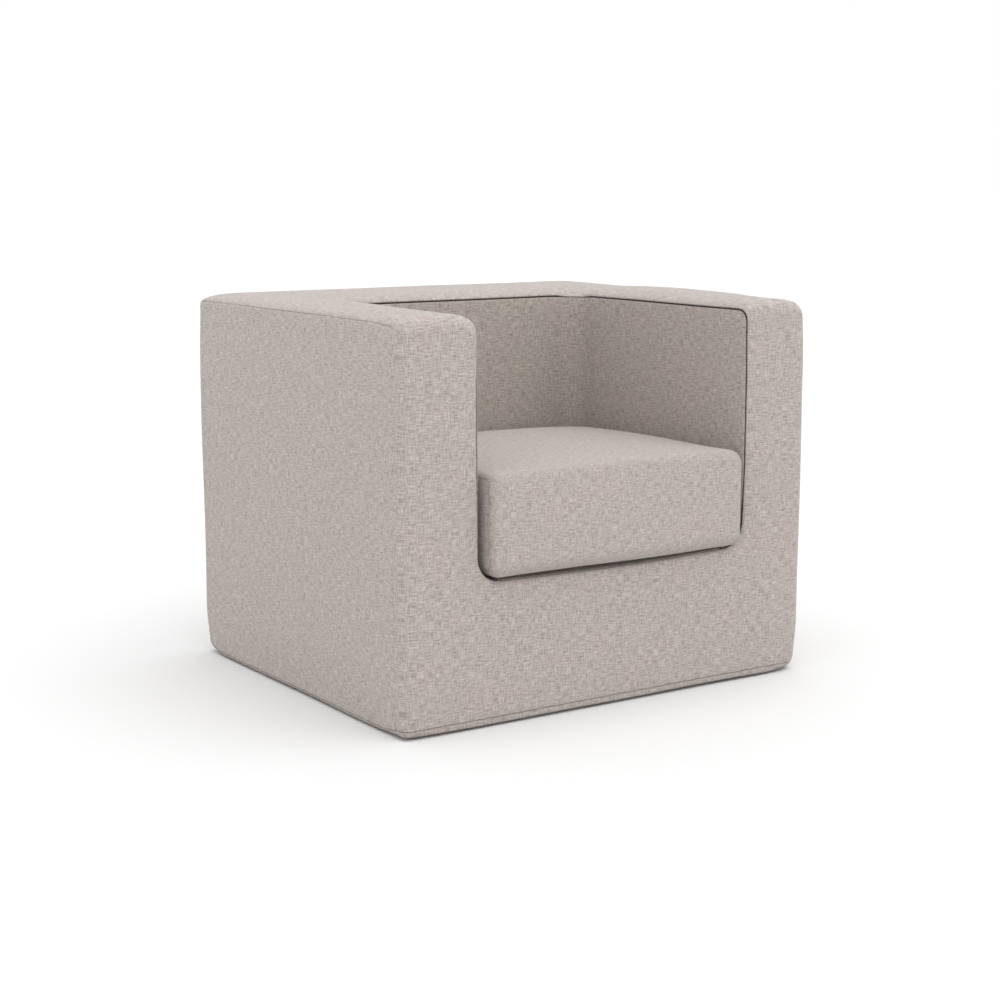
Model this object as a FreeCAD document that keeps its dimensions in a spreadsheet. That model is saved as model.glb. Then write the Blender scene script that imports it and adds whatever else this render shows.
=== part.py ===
import FreeCAD, Part
import os
import Sketcher

# A small upholstered armchair: a timber and plywood box frame, foam on every face,
# a sewn cover, and a loose seat cushion with a zip along its back.
# Millimetres, +Z up, the front faces -Y. The origin is on the floor, midway along
# the width and the depth. "left" is the -X side, as seen from the front.

document = FreeCAD.newDocument("armchair")

SIZES = {
    # the upholstered outline
    "width": 508,
    "depth": 443,
    "cushion_proud": 15,
    "side_height": 401,
    "inner_drop": 4,
    "arm_width": 89,
    "back_thickness": 138,
    "deck_height": 147.5,
    "arm_crown_radius": 96,
    "back_crown_radius": 255,
    "corner_radius": 16,
    "top_front_radius": 22,
    "crown_room": 10.5,
    # the cover
    "cloth": 1.2,
    "hem_height": 9.5,
    "top_seam_drop": 1,
    # padding over the frame
    "side_wadding": 10,
    "front_foam": 18,
    "arm_foam": 20,
    "back_foam": 30,
    "deck_foam": 12,
    "top_foam": 29,
    # the frame
    "glide_height": 2,
    "glide_radius": 14,
    "glide_inset": 38,
    "base_board": 12,
    "base_corner": 40,
    "panel": 6,
    "post_depth": 22,
    "rail_height": 22,
    "front_board": 18,
    "cleat_width": 22,
    "cleat_height": 30,
    "strap_thickness": 1.5,
    "strap_width": 48,
    "strap_pitch_across": 92,
    "strap_pitch_along": 80,
    "block_side": 34,
    "block_height": 40,
    # screws
    "screw_radius": 1.9,
    "screw_length": 34,
    "screw_head_radius": 3.9,
    "screw_head_height": 2.6,
    "glide_screw_radius": 1.6,
    "glide_screw_length": 14,
    # the seat cushion
    "cushion_thickness": 108,
    "cushion_gap": 7,
    "cushion_lift": 0.5,
    "cushion_radius": 18,
    "cushion_edge": 12,
    "cushion_back_gap": 8,
    # the cushion's zip
    "zip_length": 250,
    "zip_opening": 8,
    "tape_thickness": 0.6,
    "tape_width": 12,
    "chain_width": 2.4,
    "chain_thickness": 1.8,
    "web_thickness": 1,
    "slider_clearance": 0.35,
    "slider_length": 12,
    "slider_width": 8,
    "slider_plate": 1.1,
    "loop_wire": 0.8,
    "loop_height": 2.6,
    "pull_length": 24,
    "pull_width": 6,
    "pull_thickness": 1.2,
    "pull_eye": 1.5,
    "pull_corner": 1.2,
    "stop_length": 3,
}

sheet = document.addObject("Spreadsheet::Sheet", "size")
for row, (alias, value) in enumerate(SIZES.items(), start=1):
    sheet.set("A%d" % row, alias)
    sheet.set("B%d" % row, str(value))
    sheet.setAlias("B%d" % row, alias)
document.recompute()

# Places, written as expressions on the sheet.
OUTER_X = "(size.width / 2)"
INNER_X = "(size.width / 2 - size.arm_width)"
FRONT_Y = "(-(size.depth - size.cushion_proud) / 2)"
REAR_Y = "((size.depth + size.cushion_proud) / 2)"
WALL_Y = "((size.depth + size.cushion_proud) / 2 - size.back_thickness)"
BASE_Z = "size.glide_height"
DECK_Z = "size.deck_height"
INNER_TOP = "(size.side_height - size.inner_drop)"
PROFILE_TOP = "(size.side_height + size.crown_room)"

# The frame's own outline: the padding stands between it and the cover.
FRAME_X = f"({OUTER_X} - size.cloth - size.side_wadding)"
FRAME_INNER_X = f"({INNER_X} + size.cloth + size.arm_foam)"
FRAME_FRONT = f"({FRONT_Y} + size.cloth + size.front_foam)"
FRAME_REAR = f"({REAR_Y} - size.cloth - size.side_wadding)"
FRAME_WALL = f"({WALL_Y} + size.cloth + size.back_foam)"
FRAME_BASE = f"({BASE_Z} + size.cloth)"
BOARD_TOP = f"({FRAME_BASE} + size.base_board)"
FRAME_TOP = "(size.side_height - size.top_foam)"
STRAP_Z = f"({DECK_Z} - size.cloth - size.deck_foam - 2 * size.strap_thickness)"

SIDES = (("left", "-"), ("right", ""))
nodes = []


def number(expression):
    """The value of an expression, in millimetres."""
    return float(sheet.evalExpression(expression))


def node(item, label):
    """Gives a finished sub-part its own name, which names its file too."""
    item.Label = label
    nodes.append(item)
    return item


def block(name, x, y, z):
    """A box between two expressions on each axis."""
    box = document.addObject("Part::Box", name)
    for length, place, (low, high) in (("Length", "x", x), ("Width", "y", y), ("Height", "z", z)):
        box.setExpression(length, f"({high}) - ({low})")
        box.setExpression("Placement.Base." + place, low)
    return box


def across(sign, inner, outer):
    """The low and high X of a piece on one side, between two distances from the middle."""
    return (inner, outer) if sign == "" else (f"-({outer})", f"-({inner})")


def combine(kind, name, first, second):
    """A boolean of two objects: Part::Cut, Part::Fuse or Part::Common."""
    result = document.addObject(kind, name)
    result.Base = first
    result.Tool = second
    return result


def common(name, first, second):
    return combine("Part::Common", name, first, second)


def cut(name, first, second):
    return combine("Part::Cut", name, first, second)


def outline(body, role, place, points):
    """A closed sketch on one of the body's own planes, place along its normal.

    Each point is (x, y), or (x, y, radius) where the line that reaches the next point
    is an arc of that radius, bulging away from the outline. Every point and radius is
    bound to its expression."""
    sketch = body.newObject("Sketcher::SketchObject", "outline")
    plane = [p for p in body.Origin.OriginFeatures if p.Role == role][0]
    sketch.AttachmentSupport = (plane, "")
    sketch.MapMode = "FlatFace"
    sketch.setExpression("AttachmentOffset.Base.z", place)
    corners = [FreeCAD.Vector(number(p[0]), number(p[1]), 0) for p in points]
    for index, point in enumerate(points):
        start = corners[index]
        end = corners[(index + 1) % len(points)]
        if len(point) == 2:
            sketch.addGeometry(Part.LineSegment(start, end))
            continue
        radius = number(point[2])
        chord = end - start
        outward = FreeCAD.Vector(chord.y, -chord.x, 0).normalize()
        rise = radius - (radius ** 2 - (chord.Length / 2) ** 2) ** 0.5
        middle = (start + end) / 2 + outward * rise
        sketch.addGeometry(Part.Arc(start, middle, end))
    count = len(points)
    for index in range(count):
        sketch.addConstraint(Sketcher.Constraint("Coincident", index, 2, (index + 1) % count, 1))
    for index, point in enumerate(points):
        for kind, expression in (("DistanceX", point[0]), ("DistanceY", point[1])):
            value = number(expression)
            key = sketch.addConstraint(Sketcher.Constraint(kind, -1, 1, index, 1, value))
            sketch.setExpression(f"Constraints[{key}]", expression)
        if len(point) == 3:
            key = sketch.addConstraint(Sketcher.Constraint("Radius", index, number(point[2])))
            sketch.setExpression(f"Constraints[{key}]", point[2])
    return sketch


def prism(name, role, place, length, points):
    """A PartDesign body with one pad: the outline on a plane, carried along its normal."""
    body = document.addObject("PartDesign::Body", name)
    sketch = outline(body, role, place, points)
    pad = body.newObject("PartDesign::Pad", "pad")
    pad.Profile = sketch
    pad.setExpression("Length", length)
    body.Tip = pad
    return body


def rounded(x, y, radius):
    """The points of a rectangle whose four corners are quarter circles."""
    (left, right), (low, high) = x, y
    return [
        (f"{left} + {radius}", low),
        (f"{right} - {radius}", low, radius),
        (right, f"{low} + {radius}"),
        (right, f"{high} - {radius}", radius),
        (f"{right} - {radius}", high),
        (f"{left} + {radius}", high, radius),
        (left, f"{high} - {radius}"),
        (left, f"{low} + {radius}", radius),
    ]


def soft_form(name, skin):
    """The chair's upholstered outline, set in by the skin: two arms, the back and the
    seat, each with a crowned top, within a plan and a side view with rounded corners."""
    outer = f"({OUTER_X} - {skin})"
    inner = f"({INNER_X} + {skin})"
    front = f"({FRONT_Y} + {skin})"
    rear = f"({REAR_Y} - {skin})"
    wall = f"({WALL_Y} + {skin})"
    base = f"({BASE_Z} + {skin})"
    deck = f"({DECK_Z} - {skin})"
    side_top = f"(size.side_height - {skin})"
    inner_top = f"({INNER_TOP} - {skin})"
    depth = f"{rear} - {front}"
    arm_crown = f"(size.arm_crown_radius - {skin})"
    back_crown = f"(size.back_crown_radius - {skin})"
    right_arm = prism(name + "_right_arm", "XZ_Plane", f"-{rear}", depth, [
        (inner, base), (outer, base), (outer, side_top, arm_crown), (inner, inner_top)])
    left_arm = prism(name + "_left_arm", "XZ_Plane", f"-{rear}", depth, [
        (f"-{outer}", base), (f"-{inner}", base),
        (f"-{inner}", inner_top, arm_crown), (f"-{outer}", side_top)])
    back = prism(name + "_back", "YZ_Plane", f"-{outer}", f"2 * {outer}", [
        (wall, base), (rear, base), (rear, side_top, back_crown), (wall, inner_top)])
    seat = block(name + "_seat", (f"-{inner}", inner), (front, wall), (base, deck))
    whole = document.addObject("Part::MultiFuse", name + "_joined")
    whole.Shapes = [right_arm, left_arm, back, seat]
    radius = f"(size.corner_radius - {skin})"
    plan = prism(name + "_plan", "XY_Plane", base, PROFILE_TOP,
                 rounded((f"-{outer}", outer), (front, rear), radius))
    turn = f"(size.top_front_radius - {skin})"
    top = f"({PROFILE_TOP} - {skin})"
    profile = prism(name + "_profile", "YZ_Plane", f"-{outer}", f"2 * {outer}", [
        (front, base), (rear, base), (rear, top),
        (f"{front} + {turn}", top, turn), (front, f"{top} - {turn}")])
    in_plan = common(name + "_in_plan", whole, plan)
    return common(name, in_plan, profile)


def make_cover(cover_form, padding_form):
    """The cover is the outer skin of the outline, cut at its seams into the pieces that
    are sewn together."""
    shell = cut("cover_shell", cover_form, padding_form)
    far = "size.width"
    middle = (f"-{far}", far)
    edge = f"({OUTER_X} - size.corner_radius)"
    front_seam = f"({FRONT_Y} + size.corner_radius)"
    rear_seam = f"({REAR_Y} - size.corner_radius)"
    heights = ("size.hem_height", "(size.side_height - size.top_seam_drop)")
    lining_x = (f"-({INNER_X} + size.cloth)", f"({INNER_X} + size.cloth)")
    lining_y = (f"({FRONT_Y} + size.cloth)", f"({WALL_Y} + size.cloth)")
    regions = {
        "bottom_cover": (middle, middle, (f"-{far}", "size.hem_height")),
        "side_cover_left": (across("-", edge, far), (front_seam, rear_seam), heights),
        "side_cover_right": (across("", edge, far), (front_seam, rear_seam), heights),
        "rear_cover": (middle, (rear_seam, far), heights),
        "inner_lining": (lining_x, lining_y, (DECK_Z, f"({INNER_TOP} - size.cloth)")),
        "deck_cloth": (lining_x, lining_y, (f"({DECK_Z} - size.cloth)", DECK_Z)),
    }
    boxes = []
    for label, (x, y, z) in regions.items():
        region = block(label + "_region", x, y, z)
        node(common(label + "_shape", shell, region), label)
        boxes.append(region)
    taken = document.addObject("Part::MultiFuse", "sewn_on_regions")
    taken.Shapes = boxes
    # What is left is one piece: the U-shaped front, folded over into the tops.
    node(cut("front_cover_shape", shell, taken), "front_and_top_cover")


def make_padding(padding_form):
    """Foam and wadding: what lies between the frame and the cover, cut into the sheets
    that are glued on."""
    far = "size.width"
    inside = f"({INNER_X} + size.cloth)"
    wall = f"({WALL_Y} + size.cloth)"
    deck_top = f"({DECK_Z} - size.cloth)"
    deck_foot = f"({DECK_Z} - size.cloth - size.deck_foam)"

    def sheet_of(label, x, y, z):
        region = block(label + "_region", x, y, z)
        node(common(label + "_shape", padding_form, region), label)

    for side, sign in SIDES:
        sheet_of(f"arm_top_foam_{side}", across(sign, inside, far), (FRAME_FRONT, far), (FRAME_TOP, far))
        sheet_of(f"arm_front_foam_{side}", across(sign, inside, far), (f"-{far}", FRAME_FRONT), ("0", far))
        sheet_of(f"arm_inner_foam_{side}", across(sign, inside, FRAME_INNER_X),
                 (FRAME_FRONT, wall), (deck_foot, FRAME_TOP))
        sheet_of(f"side_wadding_{side}", across(sign, FRAME_X, far), (FRAME_FRONT, far), ("0", FRAME_TOP))
    sheet_of("back_top_foam", (f"-{inside}", inside), (wall, far), (FRAME_TOP, far))
    sheet_of("back_inner_foam", (f"-{FRAME_INNER_X}", FRAME_INNER_X), (wall, FRAME_WALL),
             (deck_foot, FRAME_TOP))
    sheet_of("rear_wadding", (f"-{FRAME_X}", FRAME_X), (FRAME_REAR, far), ("0", FRAME_TOP))
    sheet_of("rail_front_foam", (f"-{inside}", inside), (f"-{far}", FRAME_FRONT), ("0", far))
    sheet_of("deck_foam_pad", (f"-{inside}", inside), (FRAME_FRONT, wall), (deck_foot, deck_top))


def make_frame():
    """A base board with two box-section arms, a box-section back and a front board."""
    board = rounded((f"-{FRAME_X}", FRAME_X), (FRAME_FRONT, FRAME_REAR), "size.base_corner")
    node(prism("base_board_shape", "XY_Plane", FRAME_BASE, "size.base_board", board), "base_board")
    inner_face = f"({FRAME_INNER_X} + size.panel)"
    outer_face = f"({FRAME_X} - size.panel)"
    back_face = f"({FRAME_WALL} + size.panel)"
    rear_face = f"({FRAME_REAR} - size.panel)"
    upright = (BOARD_TOP, FRAME_TOP)
    for side, sign in SIDES:
        node(block(f"outer_panel_{side}", across(sign, outer_face, FRAME_X),
                   (FRAME_FRONT, FRAME_REAR), upright), f"arm_outer_panel_{side}")
        node(block(f"inner_panel_{side}", across(sign, FRAME_INNER_X, inner_face),
                   (FRAME_FRONT, FRAME_WALL), upright), f"arm_inner_panel_{side}")
        core = across(sign, inner_face, outer_face)
        front = (FRAME_FRONT, f"{FRAME_FRONT} + size.post_depth")
        rear = (f"{rear_face} - size.post_depth", rear_face)
        node(block(f"front_post_{side}_shape", core, front, upright), f"front_post_{side}")
        node(block(f"rear_post_{side}_shape", core, rear, upright), f"rear_post_{side}")
        rail = (f"{FRAME_TOP} - size.rail_height", FRAME_TOP)
        node(block(f"arm_rail_{side}_shape", core, (front[1], rear[0]), rail), f"arm_top_rail_{side}")
        cleat = across(sign, f"{FRAME_INNER_X} - size.cleat_width", FRAME_INNER_X)
        node(block(f"cleat_{side}_shape", cleat, (f"{FRAME_FRONT} + size.front_board", FRAME_WALL),
                   (f"{STRAP_Z} - size.cleat_height", STRAP_Z)), f"seat_cleat_{side}")

    span = (f"-{inner_face}", inner_face)
    node(block("back_inner_shape", span, (FRAME_WALL, back_face), upright), "back_inner_panel")
    node(block("back_outer_shape", (f"-{outer_face}", outer_face), (rear_face, FRAME_REAR), upright),
         "back_outer_panel")
    node(block("back_rail_shape", span, (back_face, rear_face),
               (f"{FRAME_TOP} - size.rail_height", FRAME_TOP)), "back_top_rail")
    clear = f"({FRAME_INNER_X} - size.cleat_width)"
    node(block("rear_cleat_shape", (f"-{clear}", clear),
               (f"{FRAME_WALL} - size.cleat_width", FRAME_WALL),
               (f"{STRAP_Z} - size.cleat_height", STRAP_Z)), "seat_cleat_rear")
    node(block("front_board_shape", (f"-{FRAME_INNER_X}", FRAME_INNER_X),
               (FRAME_FRONT, f"{FRAME_FRONT} + size.front_board"), (BOARD_TOP, STRAP_Z)), "front_board")
    make_corner_blocks()
    make_straps()


def make_corner_blocks():
    """Triangular glue blocks that hold the four inner corners of the seat box square."""
    side = "size.block_side"
    front = f"({FRAME_FRONT} + size.front_board)"
    group = []
    for name, sign in SIDES:
        x = f"{'-' if sign else ''}{FRAME_INNER_X}"
        inward = f"{x} + {side}" if sign else f"{x} - {side}"
        for end, y, forward in (("front", front, f"{front} + {side}"),
                                ("rear", FRAME_WALL, f"{FRAME_WALL} - {side}")):
            group.append(prism(f"block_{name}_{end}", "XY_Plane", BOARD_TOP, "size.block_height",
                               [(x, y), (inward, y), (x, forward)]))
    joined = document.addObject("Part::Compound", "corner_blocks_shape")
    joined.Links = group
    node(joined, "corner_blocks")


def make_straps():
    """Elastic webbing: straps from front to back, and straps across that lie on them."""
    half = "size.strap_width / 2"
    strap_top = f"({STRAP_Z} + size.strap_thickness)"
    long_group = []
    for step in (-1.5, -0.5, 0.5, 1.5):
        x = f"{step} * size.strap_pitch_along"
        long_group.append(block("long_strap", (f"{x} - {half}", f"{x} + {half}"),
                                (FRAME_FRONT, FRAME_WALL), (STRAP_Z, strap_top)))
    cross_group = []
    middle = f"(({FRAME_FRONT} + {FRAME_WALL}) / 2)"
    for step in (-1, 0, 1):
        y = f"({middle} + {step} * size.strap_pitch_across)"
        cross_group.append(block("cross_strap", (f"-{FRAME_INNER_X}", FRAME_INNER_X),
                                 (f"{y} - {half}", f"{y} + {half}"),
                                 (strap_top, f"{strap_top} + size.strap_thickness")))
    for label, group in (("straps_front_to_back", long_group), ("straps_side_to_side", cross_group)):
        joined = document.addObject("Part::Compound", label + "_shape")
        joined.Links = group
        node(joined, label)


def turned(name, points):
    """A PartDesign body turned about Z: its half section on XZ, with X as the radius."""
    body = document.addObject("PartDesign::Body", name)
    sketch = outline(body, "XZ_Plane", "0", points)
    solid = body.newObject("PartDesign::Revolution", "turned")
    solid.Profile = sketch
    solid.ReferenceAxis = (sketch, ["V_Axis"])
    solid.Angle = 360
    body.Tip = solid
    return body


def spread(label, pattern, places):
    """Copies of one turned body at a list of places, as one group of separate solids."""
    document.recompute()
    copies = []
    for place in places:
        copy = pattern.Shape.copy()
        copy.translate(place)
        copies.append(copy)
    group = document.addObject("Part::Feature", label + "_shape")
    group.Shape = Part.makeCompound(copies)
    node(group, label)


def make_fasteners():
    """Screws up through the base board into the posts, and four round glides, each held
    by its own screw."""
    glide_x = number(f"{OUTER_X} - size.glide_inset")
    front = number(f"{FRONT_Y} + size.glide_inset")
    rear = number(f"{REAR_Y} - size.glide_inset")
    corners = [FreeCAD.Vector(x, y, 0) for x in (-glide_x, glide_x) for y in (front, rear)]
    chamfer = "size.glide_height / 3"
    glide = turned("glide_pattern", [
        ("size.glide_screw_radius + size.glide_height", "0"),
        (f"size.glide_radius - {chamfer}", "0"),
        ("size.glide_radius", chamfer),
        ("size.glide_radius", "size.glide_height"),
        ("size.glide_screw_radius", "size.glide_height")])
    spread("glides", glide, corners)
    seat = "(size.glide_height * 0.35)"
    glide_screw = turned("glide_screw_pattern", [
        ("0", seat),
        (f"size.glide_screw_radius + size.glide_height - {seat}", seat),
        ("size.glide_screw_radius", "size.glide_height"),
        ("size.glide_screw_radius", "size.glide_screw_length - size.glide_screw_radius"),
        ("0", "size.glide_screw_length")])
    spread("glide_screws", glide_screw, corners)
    screw = turned("frame_screw_pattern", [
        ("0", "0"),
        ("size.screw_head_radius", "0"),
        ("size.screw_radius", "size.screw_head_height"),
        ("size.screw_radius", "size.screw_length - 2 * size.screw_radius"),
        ("0", "size.screw_length")])
    base = number(FRAME_BASE)
    inner_face = number(f"{FRAME_INNER_X} + size.panel")
    outer_face = number(f"{FRAME_X} - size.panel")
    post_front = number(f"{FRAME_FRONT} + size.post_depth / 2")
    post_rear = number(f"{FRAME_REAR} - size.panel - size.post_depth / 2")
    quarter = (outer_face - inner_face) / 4
    places = []
    for sign in (-1, 1):
        for share in (1, 3):
            for y in (post_front, post_rear):
                x = sign * (inner_face + share * quarter)
                places.append(FreeCAD.Vector(x, y, base))
    spread("frame_screws", screw, places)


def open_for_fasteners():
    """Countersunk holes up through the base board into the posts, and glide screw holes
    through the bottom cover into the board: each is the fastener's own shape taken away."""
    by_label = {item.Label: item for item in nodes}
    for label, tools in (
            ("base_board", ("frame_screws", "glide_screws")),
            ("bottom_cover", ("glide_screws",)),
            ("front_post_left", ("frame_screws",)),
            ("front_post_right", ("frame_screws",)),
            ("rear_post_left", ("frame_screws",)),
            ("rear_post_right", ("frame_screws",))):
        item = by_label[label]
        nodes.remove(item)
        item.Label = label + "_undrilled"
        current = item
        for tool in tools:
            current = cut(f"{label}_less_{tool}", current, by_label[tool])
        node(current, label)


def cushion_form(name, skin, rear_skin):
    """The seat cushion: a rounded rectangle from the front, with rounded front edges in
    plan, set in by the skin."""
    half = f"({INNER_X} - size.cushion_gap - {skin})"
    low = f"({DECK_Z} + size.cushion_lift + {skin})"
    high = f"({DECK_Z} + size.cushion_lift + size.cushion_thickness - {skin})"
    front = f"({FRONT_Y} - size.cushion_proud + {skin})"
    rear = f"({WALL_Y} - size.cushion_back_gap - {rear_skin})"
    face = prism(name + "_face", "XZ_Plane", f"-{rear}", f"{rear} - {front}",
                 rounded((f"-{half}", half), (low, high), f"(size.cushion_radius - {skin})"))
    plan = prism(name + "_plan", "XY_Plane", low, f"{high} - {low}",
                 rounded((f"-{half}", half), (front, rear), f"(size.cushion_edge - {skin})"))
    return common(name, face, plan)


CUSHION_REAR = f"({WALL_Y} - size.cushion_back_gap)"
ZIP_Z = f"({DECK_Z} + size.cushion_lift + size.cushion_thickness / 2)"
TAPE_Y = (f"({CUSHION_REAR} - size.cloth - size.tape_thickness)", f"({CUSHION_REAR} - size.cloth)")
CHAIN_Y = (TAPE_Y[1], f"({TAPE_Y[1]} + size.chain_thickness)")
WEB = "(size.web_thickness / 2 + size.slider_clearance)"


def make_cushion():
    """Foam in a wrapped cover: one strip round the top, front, bottom and back, and a
    sewn-in panel at each end. The back has the slot for the zip."""
    outer = cushion_form("cushion_outline", "0", "0")
    inner = cushion_form("cushion_inside", "size.cloth", "size.cloth")
    core = cushion_form("cushion_core", "size.cloth", "(size.cloth + size.tape_thickness)")
    plate = "(size.slider_plate + 2 * size.slider_clearance)"
    reach = "(size.zip_length / 2 + size.slider_length)"
    groove = block("slider_groove", (f"-{reach}", reach),
                   (f"{TAPE_Y[0]} - {plate}", f"{TAPE_Y[0]} + 1"),
                   (f"{ZIP_Z} - size.slider_width / 2 - 1", f"{ZIP_Z} + size.slider_width / 2 + 1"))
    node(cut("cushion_foam_shape", core, groove), "cushion_foam")
    shell = cut("cushion_shell", outer, inner)
    slot = block("zip_slot", (f"-{reach}", reach),
                 (f"{TAPE_Y[0]} - 1", f"{CUSHION_REAR} + 1"),
                 (f"{ZIP_Z} - size.zip_opening / 2", f"{ZIP_Z} + size.zip_opening / 2"))
    slotted = cut("cushion_shell_open", shell, slot)
    far = "size.width"
    seam = f"({INNER_X} - size.cushion_gap - size.cloth)"
    seam_y = (f"({FRONT_Y} - size.cushion_proud + size.cushion_edge)",
              f"({CUSHION_REAR} - size.cushion_edge)")
    seam_z = (f"({DECK_Z} + size.cushion_lift + size.cushion_radius)",
              f"({DECK_Z} + size.cushion_lift + size.cushion_thickness - size.cushion_radius)")
    ends = []
    for side, sign in SIDES:
        region = block(f"end_{side}_region", across(sign, seam, far), seam_y, seam_z)
        node(common(f"cushion_end_{side}_shape", slotted, region), f"cushion_end_{side}")
        ends.append(region)
    both = combine("Part::Fuse", "end_regions", ends[0], ends[1])
    node(cut("cushion_wrap_shape", slotted, both), "cushion_wrap")


def make_zip():
    """Two tapes inside the slot with a row of coil on each, a stop at each end, a slider
    that straddles the coils, and a pull that hangs from the slider's loop."""
    reach = "(size.zip_length / 2)"
    for side, way in (("upper", 1), ("lower", -1)):
        near = f"({ZIP_Z} + {way} * {WEB})"
        wide = f"({ZIP_Z} + {way} * ({WEB} + size.tape_width))"
        chain = f"({ZIP_Z} + {way} * ({WEB} + size.chain_width))"
        tape_z = (near, wide) if way > 0 else (wide, near)
        chain_z = (near, chain) if way > 0 else (chain, near)
        node(block(f"tape_{side}", (f"-{reach} - size.slider_length", f"{reach} + size.slider_length"),
                   TAPE_Y, tape_z), f"zip_tape_{side}")
        node(block(f"chain_{side}", (f"-{reach}", reach), CHAIN_Y, chain_z), f"zip_coil_{side}")
    stops = []
    stop_z = (f"{ZIP_Z} - {WEB} - size.chain_width", f"{ZIP_Z} + {WEB} + size.chain_width")
    for side, sign in SIDES:
        stop_x = across(sign, reach, f"{reach} + size.stop_length")
        stops.append(block(f"stop_{side}", stop_x, CHAIN_Y, stop_z))
    joined = document.addObject("Part::Compound", "zip_stops_shape")
    joined.Links = stops
    node(joined, "zip_stops")

    # The slider rests at the right-hand stop, where the zip is closed.
    high = f"({reach} - 1)"
    low = f"({high} - size.slider_length)"
    centre = f"({high} - size.slider_length / 2)"
    half = "size.slider_width / 2"
    under = f"({TAPE_Y[0]} - size.slider_clearance)"
    over = f"({CHAIN_Y[1]} + size.slider_clearance)"
    plate_z = (f"{ZIP_Z} - {half}", f"{ZIP_Z} + {half}")
    corner = "size.slider_plate"
    outer = prism("slider_outer_plate", "XZ_Plane", f"-({over} + size.slider_plate)", "size.slider_plate",
                  rounded((low, high), plate_z, corner))
    inner = prism("slider_inner_plate", "XZ_Plane", f"-{under}", "size.slider_plate",
                  rounded((low, high), plate_z, corner))
    web = block("slider_web", (f"{centre} - size.slider_length / 4", f"{centre} + size.slider_length / 4"),
                (f"{under} - size.slider_plate / 2", f"{over} + size.slider_plate / 2"),
                (f"{ZIP_Z} - size.web_thickness / 2", f"{ZIP_Z} + size.web_thickness / 2"))
    wire = "size.loop_wire"
    crown = f"({over} + size.slider_plate)"
    bar = f"({crown} + size.loop_height)"
    legs = []
    leg_x = (f"({centre} - size.slider_length / 4)", f"({centre} + size.slider_length / 4)")
    for index, place in enumerate(leg_x):
        leg = document.addObject("Part::Cylinder", f"slider_leg_{index}")
        leg.setExpression("Radius", wire)
        leg.setExpression("Height", f"size.loop_height + size.slider_plate / 2 + {wire} / 2")
        leg.Placement = FreeCAD.Placement(FreeCAD.Vector(), FreeCAD.Rotation(FreeCAD.Vector(1, 0, 0), -90))
        leg.setExpression("Placement.Base.x", place)
        leg.setExpression("Placement.Base.y", f"{crown} - size.slider_plate / 2")
        leg.setExpression("Placement.Base.z", ZIP_Z)
        legs.append(leg)
    bridge = block("slider_bridge", (f"{leg_x[0]} - {wire}", f"{leg_x[1]} + {wire}"),
                   (bar, f"{bar} + {wire}"), (f"{ZIP_Z} - {wire}", f"{ZIP_Z} + {wire}"))
    slider = document.addObject("Part::MultiFuse", "zip_slider_shape")
    slider.Shapes = [outer, inner, web, bridge] + legs
    node(slider, "zip_slider")

    pull_low = f"({crown} + (size.loop_height - size.pull_thickness) / 2)"
    eye = leg_x[0]
    pull_x = (f"({eye} - size.pull_width / 2)", f"({eye} + size.pull_width / 2)")
    pull_z = (f"({ZIP_Z} - size.pull_length)", f"({ZIP_Z} + {wire} + size.pull_eye)")
    tab = prism("pull_tab", "XZ_Plane", f"-({pull_low} + size.pull_thickness)", "size.pull_thickness",
                rounded(pull_x, pull_z, "size.pull_corner"))
    hole = document.addObject("Part::Cylinder", "pull_eye_hole")
    hole.setExpression("Radius", "size.pull_eye")
    hole.setExpression("Height", "3 * size.pull_thickness")
    hole.Placement = FreeCAD.Placement(FreeCAD.Vector(), FreeCAD.Rotation(FreeCAD.Vector(1, 0, 0), -90))
    hole.setExpression("Placement.Base.x", eye)
    hole.setExpression("Placement.Base.y", f"{pull_low} - size.pull_thickness")
    hole.setExpression("Placement.Base.z", ZIP_Z)
    node(cut("zip_pull_shape", tab, hole), "zip_pull")


cover_form = soft_form("cover_outline", "0")
padding_form = soft_form("padding_outline", "size.cloth")
make_cover(cover_form, padding_form)
make_padding(padding_form)
make_frame()
make_fasteners()
open_for_fasteners()
make_cushion()
make_zip()

document.recompute()
faults = []
for item in document.Objects:
    if "Invalid" in item.State or "Error" in item.State:
        faults.append(f"{item.Label} is {item.State}")
for item in nodes:
    if item.Shape.isNull() or not item.Shape.isValid() or not item.Shape.Solids:
        faults.append(f"{item.Label} has no valid solid")
if faults:
    raise SystemExit("\n".join(faults))

os.makedirs("parts", exist_ok=True)
for item in nodes:
    item.Shape.exportStep(f"parts/{item.Label}.step")
    size = item.Shape.BoundBox
    print(f"{item.Label:24s} {len(item.Shape.Solids):2d} solids, {item.Shape.Volume / 1000:9.2f} cm3, "
          f"x {size.XMin:7.1f} {size.XMax:7.1f}, y {size.YMin:7.1f} {size.YMax:7.1f}, "
          f"z {size.ZMin:6.1f} {size.ZMax:6.1f}")
print(len(nodes), "nodes")
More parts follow.
